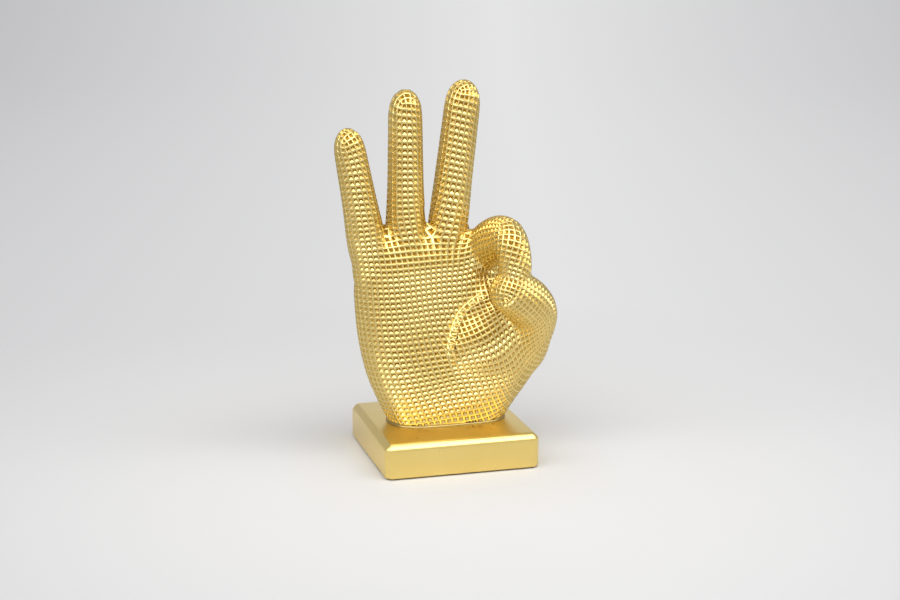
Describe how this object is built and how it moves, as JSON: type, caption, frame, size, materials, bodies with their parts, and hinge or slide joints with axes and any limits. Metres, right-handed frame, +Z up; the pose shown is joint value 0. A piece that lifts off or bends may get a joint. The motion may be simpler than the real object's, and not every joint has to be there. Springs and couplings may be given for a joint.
{
  "type": "hand sculpture",
  "caption": "Life-size right hand making the OK sign, cast with a grid of small sunk facets and finished in satin gold, standing on a low square plinth. A table ornament.",
  "frame": {"origin": "centre of the lower face of the felt under the plinth", "axes": "+Z up along the raised fingers, the palm faces -Y, the thumb is on the +X side"},
  "size_m": [0.1386, 0.1067, 0.2452],
  "materials": {
    "gold_hand": "satin metallic gold over a grid of sunk facets",
    "gold_plinth": "smooth satin metallic gold",
    "gold_bead": "smooth bright gold over the jointing compound",
    "zinc_steel": "bright zinc",
    "felt": "dark felt"
  },
  "bodies": {
    "root": {"hand_casting": "gold_hand", "plinth": "gold_plinth", "foot_bead": "gold_bead", "fixing_stud": "zinc_steel", "fixing_washer": "zinc_steel", "fixing_nut": "zinc_steel", "felt_base": "felt"}
  },
  "joints": []
}
